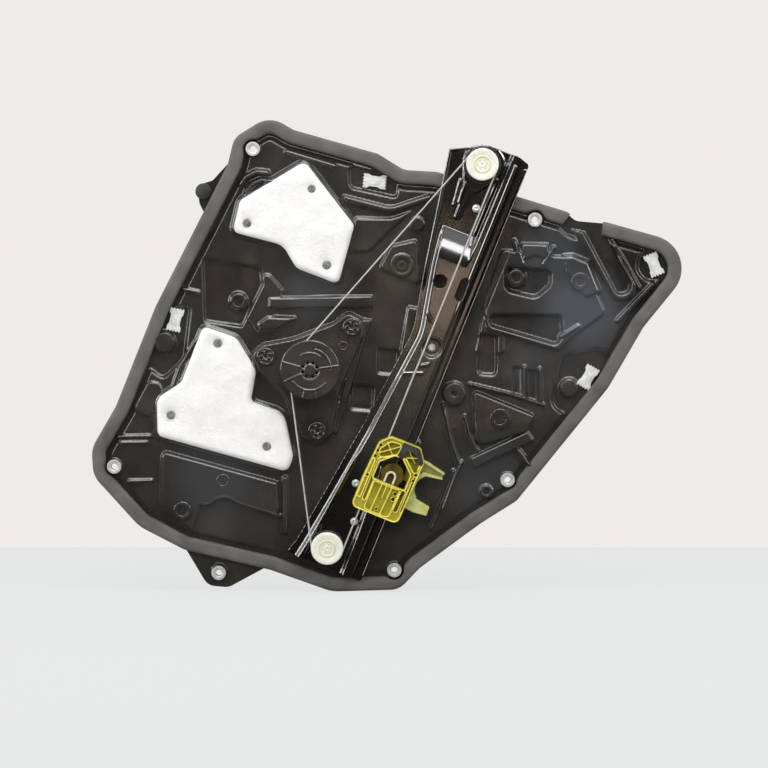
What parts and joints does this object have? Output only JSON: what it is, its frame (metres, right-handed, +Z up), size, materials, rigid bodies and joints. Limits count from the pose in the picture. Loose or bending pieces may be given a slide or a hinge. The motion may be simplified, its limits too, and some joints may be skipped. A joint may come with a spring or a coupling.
{
  "type": "window regulator",
  "caption": "Door module carrier panel with a single-rail cable window regulator, its slider, pulleys, drum drive, foam seal and sound pads.",
  "frame": {"origin": "axis of the lower door bolt sleeve at the carrier panel's wet face", "axes": "+X to the right and +Z up as seen from the wet side, +Y from the wet side to the cabin side"},
  "size_m": [0.6201, 0.0754, 0.4958],
  "materials": {
    "black_plastic": "satin moulded plastic",
    "black_foam": "matte foam",
    "white_felt": "matte felt",
    "zinc_steel": "zinc plated",
    "white_plastic": "satin",
    "grey_rubber": "matte",
    "black_steel": "gloss black coat",
    "cream_plastic": "satin",
    "steel_cable": "greased wire rope",
    "yellow_plastic": "satin moulded plastic"
  },
  "bodies": {
    "carrier": {"carrier_panel": "black_plastic", "perimeter_seal": "black_foam", "upper_acoustic_pad": "white_felt", "lower_acoustic_pad": "white_felt", "pad_stakes": "black_plastic", "mounting_sleeves": "zinc_steel", "trim_clips": "white_plastic", "edge_buffer": "grey_rubber", "guide_rail": "black_steel", "rail_rivets": "zinc_steel", "pulley_journals": "zinc_steel", "upper_cable": "steel_cable", "lower_cable": "steel_cable", "drive_gear_housing": "black_plastic", "drive_gear_cover": "black_plastic", "drive_motor_can": "zinc_steel", "drive_control_box": "black_plastic", "drive_screws": "zinc_steel"},
    "slider": {"slider_body": "yellow_plastic", "slider_insert": "black_plastic", "retaining_clip": "white_plastic", "cable_ferrules": "zinc_steel"},
    "upper_pulley_body": {"upper_pulley": "cream_plastic"},
    "lower_pulley_body": {"lower_pulley": "cream_plastic"},
    "drum": {"cable_drum": "cream_plastic", "wound_cable": "steel_cable", "output_shaft": "zinc_steel"}
  },
  "joints": [
    {"name": "carrier_slide", "type": "slide", "parent": "carrier", "child": "slider", "axis": [0.3746, 0, 0.9272], "range_m": [-0.03, 0.275]},
    {"name": "upper_pulley_spin", "type": "hinge", "parent": "carrier", "child": "upper_pulley_body", "pos_m": [0.09198, -0.024, 0.4266], "axis": [0, 1, 0], "range_deg": [-985, 110]},
    {"name": "lower_pulley_spin", "type": "hinge", "parent": "carrier", "child": "lower_pulley_body", "pos_m": [-0.0706, -0.024, 0.0242], "axis": [0, 1, 0], "range_deg": [-985, 110]},
    {"name": "drum_spin", "type": "hinge", "parent": "carrier", "child": "drum", "pos_m": [-0.08839, -0.024, 0.21215], "axis": [0, 1, 0], "range_deg": [-705, 80]}
  ],
  "couplings": [
    {"joint": "upper_pulley_spin", "follows": "carrier_slide", "rad_per_m": -62.112},
    {"joint": "lower_pulley_spin", "follows": "carrier_slide", "rad_per_m": -62.112},
    {"joint": "drum_spin", "follows": "carrier_slide", "rad_per_m": -44.444}
  ]
}
